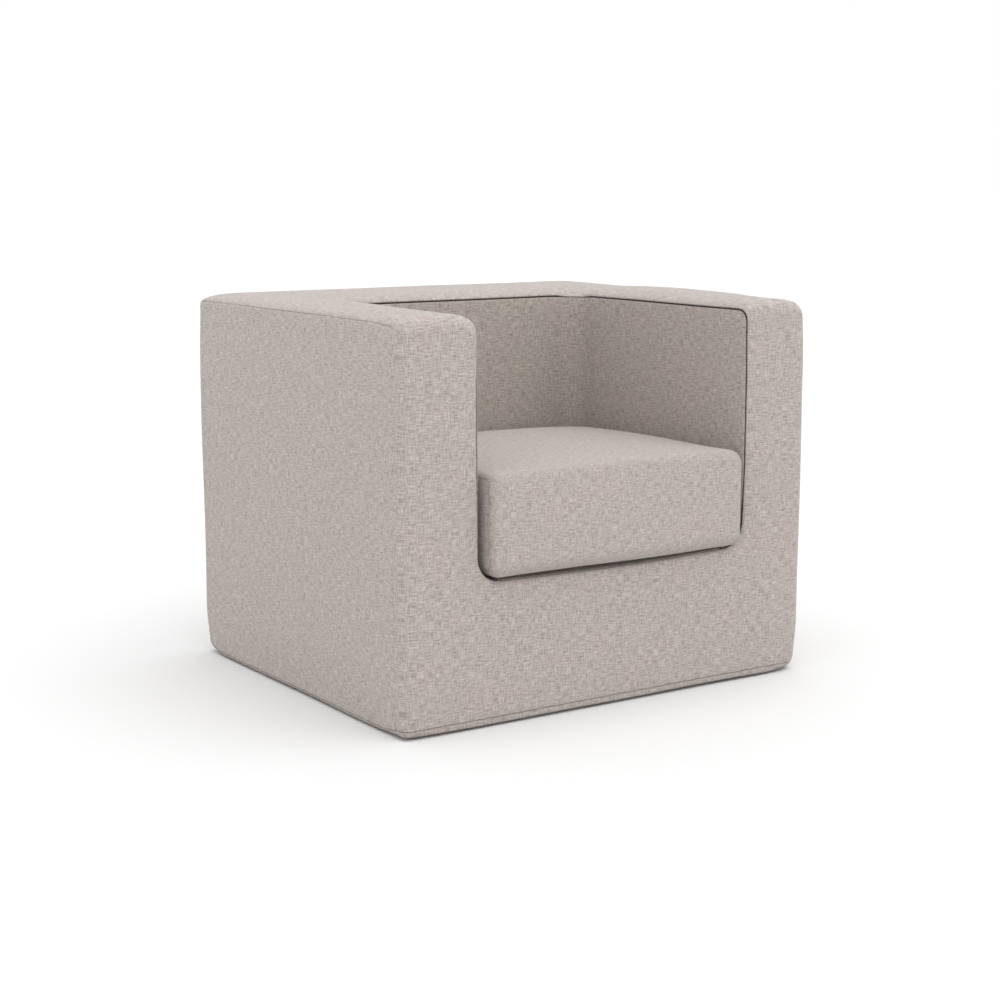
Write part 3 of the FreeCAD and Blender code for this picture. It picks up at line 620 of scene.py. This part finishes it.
def blowUp():
    # The cushion's skin as a cube's grid settled on the form, blown up as cloth. Returns its
    # points and how far each moved outwards, about a middle of zero.
    mesh = bpy.data.meshes.new("cushionSkin")
    work = bmesh.new()
    bmesh.ops.create_cube(work, size=2)
    bmesh.ops.subdivide_edges(work, edges=work.edges, cuts=swellLook["cuts"], use_grid_fill=True)
    work.to_mesh(mesh)
    work.free()
    skin = newObject("cushionSkin", mesh)
    corners = np.empty(3 * len(mesh.vertices), np.float32)
    mesh.vertices.foreach_get("co", corners)
    corners = corners.reshape(-1, 3).astype(float)
    start = (cushionLow + cushionHigh) / 2 + corners * (cushionHigh - cushionLow) * swellLook["size"] / 2
    points, normals = settle(start, cushionForm)
    mesh.vertices.foreach_set("co", asMetres(points))
    mesh.update()
    cloth = skin.modifiers.new("cloth", "CLOTH")
    cloth.settings.quality = swellLook["quality"]
    cloth.settings.mass = swellLook["mass"]
    cloth.settings.use_pressure = True
    cloth.settings.uniform_pressure_force = swellLook["pressure"]
    cloth.settings.effector_weights.gravity = 0
    cloth.collision_settings.use_collision = False
    cloth.point_cache.frame_start, cloth.point_cache.frame_end = 1, swellLook["frames"]
    for step in range(1, swellLook["frames"] + 1):
        bpy.context.scene.frame_set(step)
    blown = skin.evaluated_get(bpy.context.evaluated_depsgraph_get()).data
    after = np.empty(3 * len(blown.vertices), np.float32)
    blown.vertices.foreach_get("co", after)
    bpy.context.scene.frame_set(1)
    bpy.data.objects.remove(skin)
    bpy.data.meshes.remove(mesh)
    moved = after.reshape(-1, 3) * 1000.0 - points
    moved = ((moved - moved.mean(0)) * normals).sum(-1)
    print("cushion blown up: moved out by", moved.min().round(1), "to", moved.max().round(1), "mm")
    moved = moved - np.median(moved)
    return points, moved * min(1, swellLook["most"] / np.abs(moved).max())


def makeSwell():
    # Outward movement at any point: the blown skin's own, averaged with weights that fall
    # off as a bell curve of the distance. None near the zip.
    skin, moved = blowUp()

    def swell(points):
        flat, out = points.reshape(-1, 3), []
        for part in np.array_split(flat, max(1, len(flat) // 1000)):
            away = ((part[:, None, :] - skin[None]) ** 2).sum(-1)
            weight = np.exp(-away / (2 * swellLook["reach"] ** 2))
            out.append((weight * moved).sum(1) / np.maximum(weight.sum(1), 1e-9))
        fade = smoothStep((cushionHigh[1] - swellLook["zipClear"] - points[..., 1]) / swellLook["zipFade"])
        return np.concatenate(out).reshape(points.shape[:-1]) * fade

    return swell


cushionSwell = makeSwell()


def makeCushionWrap():
    # One strip round the cushion from the zip's upper edge over the top, the front and the
    # bottom to its lower edge; each column runs from one end panel's seam to the other's.
    lowY, highY, lowZ, highZ = cushionLow[1], cushionHigh[1], cushionLow[2], cushionHigh[2]
    inset, corner = cushionShape["endInset"], cushionShape["endCorner"]
    insetY, rim = cushionShape["endInsetY"], cushionShape["rim"]
    zipZ = nodeBox("zip_slider")[0][2] / 2 + nodeBox("zip_slider")[1][2] / 2
    turn = np.linspace(0, math.pi / 2, 12, endpoint=False)
    square = np.maximum(np.cos(turn), np.sin(turn))

    def straight(count, outY, outZ, inY, inZ, closed=False):
        # a run of columns: each place is one number, or a pair to go between
        pairs = [place if isinstance(place, tuple) else (place, place) for place in (outY, outZ, inY, inZ)]
        return [np.linspace(*pair, count, endpoint=closed) for pair in pairs]

    def cornerPair(cy, cz, sy, sz, first):
        # outer sharp corner and the end panel's rounded one, from the first axis round
        c, s = (np.cos(turn), np.sin(turn)) if first == "y" else (np.sin(turn), np.cos(turn))
        outY, outZ = cy - sy * (rim - rim * c / square), cz - sz * (rim - rim * s / square)
        inY = cy - sy * (insetY + corner - corner * c)
        inZ = cz - sz * (inset + corner - corner * s)
        return outY, outZ, inY, inZ

    frontIn, rearIn = lowY + insetY + corner, highY - insetY - corner
    footIn, headIn = lowZ + inset + corner, highZ - inset - corner
    runs = [
        straight(16, highY, (zipZ, highZ - rim), highY - insetY, (zipZ, headIn)),
        cornerPair(highY, highZ, 1, 1, "y"),
        straight(70, (highY - rim, lowY + rim), highZ, (rearIn, frontIn), highZ - inset),
        cornerPair(lowY, highZ, -1, 1, "z"),
        straight(20, lowY, (highZ - rim, lowZ + rim), lowY + insetY, (headIn, footIn)),
        cornerPair(lowY, lowZ, -1, -1, "y"),
        straight(70, (lowY + rim, highY - rim), lowZ, (frontIn, rearIn), lowZ + inset),
        cornerPair(highY, lowZ, 1, -1, "z"),
        straight(17, highY, (lowZ + rim, zipZ), highY - insetY, (footIn, zipZ), closed=True),
    ]
    outY, outZ, inY, inZ = [np.concatenate(part) for part in zip(*runs)]
    length = np.concatenate([[0], np.cumsum(np.hypot(np.diff(outY), np.diff(outZ)))])
    knot = lambda x, y, z: np.stack([np.full_like(y, x), y, z, np.full_like(y, x), length], -1)
    left, right = cushionLow[0], cushionHigh[0]
    knots = [knot(left, inY, inZ), knot(left, outY, outZ), knot(right, outY, outZ), knot(right, inY, inZ)]
    knots[0][:, 3] -= inset
    knots[3][:, 3] += inset
    total = sum(np.linalg.norm((b - a)[:, :3], axis=-1) for a, b in zip(knots, knots[1:]))
    width = total - 2 * seam["flushGap"]
    distance, edge = rowsAcross(width, 64)
    grid = along(knots, np.clip(distance, 0, width) + seam["flushGap"])
    start = grid[..., :3]
    # the zip's slot: near the strip's two ends the cloth parts by the slot's half height
    fromEnd = cushionShape["slotReach"] + cushionShape["slotEnd"] - np.abs(start[..., 0])
    opening = cushionShape["slot"] * smoothStep(fromEnd / cushionShape["slotEnd"]) + cushionShape["slotSeam"]
    fromZip = np.minimum(length, length[-1] - length)[None]
    push = opening * np.clip(1 - fromZip / cushionShape["slotRun"], 0, 1)
    start[..., 2] += np.where(length[None] < length[-1] / 2, push, -push)
    return sewnPanel("cushionWrap", start, grid[..., 3:], edge, cushionForm,
                     crease=cushionShape["crease"], swell=cushionSwell)


def makeCushionEnd(name, way):
    # A flat panel with four rounded corners, settled on the cushion's end.
    gap, inset, insetY = seam["flushGap"], cushionShape["endInset"], cushionShape["endInsetY"]
    low, high = cushionLow[1] + insetY + gap, cushionHigh[1] - insetY - gap
    foot, head = cushionLow[2] + inset + gap, cushionHigh[2] - inset - gap
    u, v, edge = panelGrid(high - low, head - foot, 6, [cushionShape["endCorner"] - gap] * 4)
    start = np.stack([np.full_like(u, cushionMiddle + way * cushionHalf), low + u, foot + v], -1)
    return sewnPanel(name, start, np.stack([-way * u, v], -1), edge, cushionForm,
                     crease=cushionShape["crease"], swell=cushionSwell)


cushionWrap = makeCushionWrap()
endLeft, endRight = makeCushionEnd("cushionEndLeft", -1), makeCushionEnd("cushionEndRight", 1)
print("seat cushion made")


class Wire:
    # One output socket. Arithmetic on it adds Math nodes.
    def __init__(self, recipe, socket):
        self.recipe, self.socket = recipe, socket

    def math(self, operation, a, b):
        return self.recipe.add("Math", {"operation": operation}, {0: a, 1: b})

    def __add__(self, other):
        return self.math("ADD", self, other)

    def __sub__(self, other):
        return self.math("SUBTRACT", self, other)

    def __mul__(self, other):
        return self.math("MULTIPLY", self, other)

    def __rsub__(self, other):
        return self.math("SUBTRACT", other, self)

    __radd__, __rmul__ = __add__, __mul__


class Recipe:
    # A material being put together.
    def __init__(self, name):
        self.material = bpy.data.materials.new(name)
        self.material.use_nodes = True
        self.tree = self.material.node_tree
        self.tree.nodes.clear()

    def add(self, kind, settings=None, sockets=None, output=0):
        # One node: its settings first, then a value or a link for each of its sockets.
        node = self.tree.nodes.new("ShaderNode" + kind)
        for key, value in (settings or {}).items():
            setattr(node, key, value)
        for key, value in (sockets or {}).items():
            if isinstance(value, Wire):
                self.tree.links.new(value.socket, node.inputs[key])
            else:
                node.inputs[key].default_value = value
        return Wire(self, node.outputs[output]) if len(node.outputs) else node

    def bands(self, vector, direction, scale, **sockets):
        sockets = {key.replace("_", " "): value for key, value in sockets.items()}
        return self.add("TexWave", {"wave_type": "BANDS", "bands_direction": direction},
                        {"Vector": vector, "Scale": scale, **sockets}, "Fac")

    def scaled(self, vector, factors):
        return self.add("VectorMath", {"operation": "MULTIPLY"}, {0: vector, 1: factors})

    def noise(self, vector, detail=2, roughness=0.5, dimensions="3D"):
        return self.add("TexNoise", {"noise_dimensions": dimensions},
                        {"Vector": vector, "Scale": 1, "Detail": detail, "Roughness": roughness}, "Fac")

    def mix(self, factor, a, b, blend="MIX"):
        a, b = [(*c, 1) if isinstance(c, tuple) and len(c) == 3 else c for c in (a, b)]
        return self.add("Mix", {"data_type": "RGBA", "blend_type": blend},
                        {0: factor, 6: a, 7: b}, 2)

    def spread(self, value, low, high, toLow=0, toHigh=1):
        # the share of the way from low to high, held between the two ends
        return self.add("MapRange", {"clamp": True}, {
            "Value": value, "From Min": low, "From Max": high, "To Min": toLow, "To Max": toHigh})

    def surface(self, colour, roughness, height=None, depth=0.0002, **fixed):
        sockets = {"Base Color": colour, "Roughness": roughness}
        if height is not None:
            sockets["Normal"] = self.add("Bump", None, {"Height": height, "Distance": depth, "Strength": 1})
        sockets.update({key.replace("_", " "): value for key, value in fixed.items()})
        shader = self.add("BsdfPrincipled", None, sockets)
        self.add("OutputMaterial", None, {"Surface": shader})
        return self.material


weaveLook = {
    "light": (0.64, 0.585, 0.55),
    "dark": (0.235, 0.195, 0.178),
    "pink": (0.47, 0.385, 0.378),
    "green": (0.425, 0.405, 0.346),
    # colour of the painted shade inside the creased seams
    "seamShadeColour": (0.035, 0.024, 0.02),
    "thread": 0.0011,  # width of a streak, metres
    "slub": 0.0095,  # and its length
    "contrast": (0.82, 1.48),
    "wander": 0.0022,  # how far the threads stray
    "mottle": (16, 19, 0),  # patches per metre
    "fleck": (270, 620, 0),
    "fleckShare": 0.4,
    "bump": 0.00022,
}
cushionWeave = dict(weaveLook, slub=0.0088, contrast=(0.78, 1.52))


def makeWeave(name, look, tint=(1, 1, 1)):
    # Greige linen cloth: streaks along both thread directions, light slubs, broad mottling, and painted shade
    # inside the creased seams.
    r = Recipe(name)
    cloth = r.add("UVMap", {"uv_map": "weave"})
    drift = r.noise(r.scaled(cloth, (35, 35, 0)), 1, dimensions="2D")
    wander = r.scaled(drift, (look["wander"], look["wander"], 0))
    bent = r.add("VectorMath", {"operation": "ADD"}, {0: cloth, 1: wander})
    thread, slub = look["thread"], look["slub"]
    warp = r.noise(r.scaled(bent, (1 / thread, 1 / slub, 0)), 2, 0.6, "2D")
    weft = r.noise(r.scaled(bent, (1 / slub, 1 / thread, 0)), 2, 0.6, "2D")
    grain = r.noise(r.scaled(cloth, (1100, 1100, 0)), 2, 0.6, "2D")
    value = r.spread(warp * 0.9 + weft * 1.1 + grain * 0.3, *look["contrast"])
    broad = r.spread(r.noise(r.scaled(cloth, look["mottle"]), 2, dimensions="2D"), 0.38, 0.62)
    hue = r.mix(broad, look["pink"], look["green"])
    toned = r.mix(value, r.mix(0.7, hue, look["dark"]), r.mix(0.7, hue, look["light"]))
    fleck = r.spread(r.noise(r.scaled(bent, look["fleck"]), 1, 0.5, "2D"), 0.66, 0.76)
    flecked = r.mix(fleck * look["fleckShare"], toned, look["light"])
    tinted = r.mix(1, flecked, tint, "MULTIPLY")
    # painted shade: the colour darkens inside the creased seams, where the seams lie in shade
    shade = r.add("Attribute", {"attribute_name": "paintedSeamShade"}, output="Fac")
    colour = r.mix(shade, tinted, look["seamShadeColour"])
    woven = [r.bands(r.scaled(bent, (100, 100, 0)), axis, 3) for axis in "XY"]
    height = woven[0] * woven[1] + value * 0.8
    return r.surface(colour, 0.9, height, look["bump"],
                     Sheen_Weight=0.3, Sheen_Roughness=0.35, Specular_IOR_Level=0.25)


hardLook = {
    "plyLight": (0.70, 0.54, 0.36),
    "plyDark": (0.47, 0.32, 0.18),
    "plyPitch": 0.003,  # a light and a dark ply together
    "pineLight": (0.74, 0.57, 0.37),
    "pineDark": (0.52, 0.34, 0.18),
    "webbing": (0.075, 0.066, 0.058),
    "webbingStripe": (0.17, 0.15, 0.13),
    "steel": (0.56, 0.56, 0.57),
    "glide": (0.045, 0.045, 0.046),
    "zipCloth": (0.40, 0.36, 0.34),
    "zipCoil": (0.30, 0.27, 0.255),
    "zipMetal": (0.42, 0.40, 0.375),
}


def atPlace(r):  # the place on the chair, in metres
    return r.add("TexCoord", output="Object")


def stretched(axis, fine, coarse):  # scale factors for grain that runs along one axis
    return tuple(coarse if i == axis else fine for i in range(3))


def makePlywood(name, thin, grain):
    # Rotary-cut grain on the faces, light and dark plies on the edges across the thin axis.
    r = Recipe(name)
    place = atPlace(r)
    figure = r.noise(r.scaled(place, stretched(grain, 70, 7)), 4, 0.6)
    fibre = r.noise(r.scaled(place, stretched(grain, 900, 30)), 2)
    ply = r.bands(place, "XYZ"[thin], 2 * math.pi / 20 / hardLook["plyPitch"])
    share = r.spread(figure * 0.8 + fibre * 0.3 + r.spread(ply, 0.35, 0.65) * 0.25, 0.45, 0.95)
    colour = r.mix(share, hardLook["plyLight"], hardLook["plyDark"])
    return r.surface(colour, r.spread(fibre, 0.2, 0.8, 0.62, 0.8), fibre + ply * 0.4, 0.0001)


def makePine(name, length):
    # Growth rings drawn out along the length, with fine fibres.
    r = Recipe(name)
    place = atPlace(r)
    drift = r.noise(r.scaled(place, stretched(length, 25, 3)), 2)
    ring = r.bands(r.scaled(place, stretched(length, 1, 0.05)), "DIAGONAL", 34,
                   Distortion=5, Detail=2, Detail_Scale=0.6)
    fibre = r.noise(r.scaled(place, stretched(length, 1100, 25)), 2)
    share = r.spread(ring * 0.55 + drift * 0.5 + fibre * 0.25, 0.3, 1.1)
    colour = r.mix(share, hardLook["pineLight"], hardLook["pineDark"])
    return r.surface(colour, r.spread(fibre, 0.2, 0.8, 0.6, 0.78), fibre * 0.5 + ring * 0.3, 0.00012)


def makeWebbing(name, lengthwise):
    # Elastic upholstery webbing: cross ribs, with two paler stripes along each strap.
    r = Recipe(name)
    place = atPlace(r)
    rib = r.bands(place, "XYZ"[lengthwise], 190)
    thread = r.bands(place, "XYZ"[1 - lengthwise], 230)
    stripe = r.spread(r.bands(place, "XYZ"[1 - lengthwise], 19), 0.86, 0.93)
    worn = r.noise(r.scaled(place, (160, 160, 160)), 3)
    colour = r.mix(stripe * 0.7 + worn * 0.25, hardLook["webbing"], hardLook["webbingStripe"])
    return r.surface(colour, 0.85, rib + thread * 0.6, 0.0003, Sheen_Weight=0.2)


def makeMetal(name, colour, brushed, roughness):
    # Metal with fine brush lines, a little dulling and small colour drift.
    r = Recipe(name)
    place = atPlace(r)
    lines = r.noise(r.scaled(place, stretched(brushed, 5200, 300)), 2)
    dull = r.noise(r.scaled(place, (320, 320, 320)), 3)
    shade = r.mix(r.spread(dull, 0.3, 0.7, 0, 0.5), colour, tuple(0.6 * c for c in colour))
    rough = r.spread(lines * 0.5 + dull * 0.5, 0.3, 0.7, roughness - 0.08, roughness + 0.12)
    return r.surface(shade, rough, lines, 0.00002, Metallic=1)


def makeMoulded(name, colour, roughness):
    # Fine-grained moulded plastic, slightly scuffed.
    r = Recipe(name)
    place = atPlace(r)
    grain = r.noise(r.scaled(place, (2600, 2600, 2600)), 2)
    scuff = r.spread(r.noise(r.scaled(place, (210, 210, 210)), 4), 0.5, 0.7)
    shade = r.mix(scuff * 0.3, colour, tuple(min(1, c * 1.9 + 0.03) for c in colour))
    rough = r.spread(grain + scuff * 0.5, 0.3, 1.1, roughness - 0.08, roughness + 0.14)
    return r.surface(shade, rough, grain, 0.00005)


def makeZipCloth(name):
    # The zip's woven tape: ribs along its length, a fine cross weave.
    r = Recipe(name)
    place = atPlace(r)
    ribs = r.bands(place, "Z", 420)
    picks = r.bands(place, "X", 520)
    drift = r.noise(r.scaled(place, (90, 90, 400)), 2)
    share = ribs * 0.35 + picks * 0.35 + drift * 0.5
    shaded = tuple(0.62 * c for c in hardLook["zipCloth"])
    colour = r.mix(r.spread(share, 0.2, 1.0), shaded, hardLook["zipCloth"])
    return r.surface(colour, 0.86, ribs + picks, 0.00012, Sheen_Weight=0.15)


coverCloth = makeWeave("coverLinen", weaveLook)
cushionCloth = makeWeave("cushionLinen", cushionWeave)
liningCloth = makeWeave("liningLinen", weaveLook, (0.97, 0.965, 0.95))
baseCloth = makeWeave("baseLinen", weaveLook, (0.95, 0.94, 0.93))
for cloth, pieces in (
        (coverCloth, (frontAndTop, sideLeft, sideRight, rearCover)),
        (baseCloth, (bottomCover,)),
        (liningCloth, (lining, deckCloth)),
        (cushionCloth, (cushionWrap, endLeft, endRight))):
    for piece in pieces:
        piece.data.materials.append(cloth)

sides = ("left", "right")
pineAlongX, pineAlongY, pineAlongZ = [makePine("pineAlong" + "XYZ"[i], i) for i in range(3)]
nodeFinish = [
    (makePlywood("plywoodSides", 0, 2),
     [f"arm_{face}_panel_{side}" for face in ("outer", "inner") for side in sides]),
    (makePlywood("plywoodBack", 1, 2), ["back_inner_panel", "back_outer_panel"]),
    (makePlywood("plywoodBase", 2, 0), ["base_board"]),
    (pineAlongX, ["back_top_rail", "front_board", "seat_cleat_rear"]),
    (pineAlongY, [f"{part}_{side}" for part in ("arm_top_rail", "seat_cleat") for side in sides]),
    (pineAlongZ,
     [f"{part}_{side}" for part in ("front_post", "rear_post") for side in sides] + ["corner_blocks"]),
    (makeWebbing("webbingFrontToBack", 1), ["straps_front_to_back"]),
    (makeWebbing("webbingSideToSide", 0), ["straps_side_to_side"]),
    (makeMetal("screwSteel", hardLook["steel"], 2, 0.34), ["frame_screws", "glide_screws"]),
    (makeMoulded("glidePlastic", hardLook["glide"], 0.42), ["glides"]),
    (makeZipCloth("zipTape"), ["zip_tape_upper", "zip_tape_lower"]),
    (makeMoulded("zipCoil", hardLook["zipCoil"], 0.38), ["zip_coil_upper", "zip_coil_lower"]),
    (makeMetal("zipMetal", hardLook["zipMetal"], 0, 0.3), ["zip_stops", "zip_slider", "zip_pull"]),
]
for finish, names in nodeFinish:
    for name in names:
        node = nodes[name]
        if not node.material_slots:
            node.data.materials.append(finish)
        for slot in node.material_slots:
            slot.material = finish
print("materials made")

for piece, slot, replaced in (
        (frontAndTop, "cover_fabric",
         ["front_and_top_cover", "arm_top_foam_left", "arm_top_foam_right", "arm_front_foam_left",
          "arm_front_foam_right", "back_top_foam", "rail_front_foam"]),
        (sideLeft, "cover_fabric", ["side_cover_left", "side_wadding_left"]),
        (sideRight, "cover_fabric", ["side_cover_right", "side_wadding_right"]),
        (rearCover, "cover_fabric", ["rear_cover", "rear_wadding"]),
        (bottomCover, "base_cloth", ["bottom_cover"]),
        (lining, "lining_fabric",
         ["inner_lining", "arm_inner_foam_left", "arm_inner_foam_right", "back_inner_foam"]),
        (deckCloth, "lining_fabric", ["deck_cloth", "deck_foam_pad"])):
    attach(piece, "chair")
    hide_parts(*replaced)
for piece, replaced in (
        (cushionWrap, ["cushion_wrap", "cushion_foam"]),
        (endLeft, ["cushion_end_left"]),
        (endRight, ["cushion_end_right"])):
    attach(piece, "seat_cushion")
    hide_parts(*replaced)

studio = {
    "lens": 68.5,
    "eye": (-1.1532, -1.7253, 0.5359),
    "forward": (0.54769, 0.81966, -0.16788),
    "worldStrength": 1.0,
    "sunStrength": 1.4,
    "sunSize": 70,  # degrees across, for soft shadows
    "sunAim": (-0.08, 0.28, -1),
    "floorReach": 40,
    "floorColour": (0.75, 0.75, 0.75, 1),
}


def makeStudio():
    scene = bpy.context.scene
    scene.view_settings.view_transform = "Standard"
    camera = newObject("camera", bpy.data.cameras.new("camera"))
    camera.data.lens, camera.data.sensor_width = studio["lens"], 36
    camera.location = studio["eye"]
    camera.rotation_mode = "QUATERNION"
    camera.rotation_quaternion = Vector(studio["forward"]).to_track_quat("-Z", "Y")
    scene.camera = camera
    world = bpy.data.worlds.new("studio")
    world.use_nodes = True
    sky = world.node_tree.nodes["Background"].inputs
    sky["Color"].default_value, sky["Strength"].default_value = (1, 1, 1, 1), studio["worldStrength"]
    scene.world = world
    far = studio["floorReach"]
    mesh = bpy.data.meshes.new("floor")
    mesh.from_pydata([(-far, -far, 0), (far, -far, 0), (far, far, 0), (-far, far, 0)], [], [(0, 1, 2, 3)])
    floor = newObject("floor", mesh)
    mesh.materials.append(Recipe("paleFloor").surface(studio["floorColour"], 0.9))
    sun = newObject("softKey", bpy.data.lights.new("softKey", "SUN"))
    sun.data.energy, sun.data.angle = studio["sunStrength"], math.radians(studio["sunSize"])
    sun.rotation_mode = "QUATERNION"
    sun.rotation_quaternion = Vector(studio["sunAim"]).to_track_quat("-Z", "Y")


makeStudio()
print("studio made")
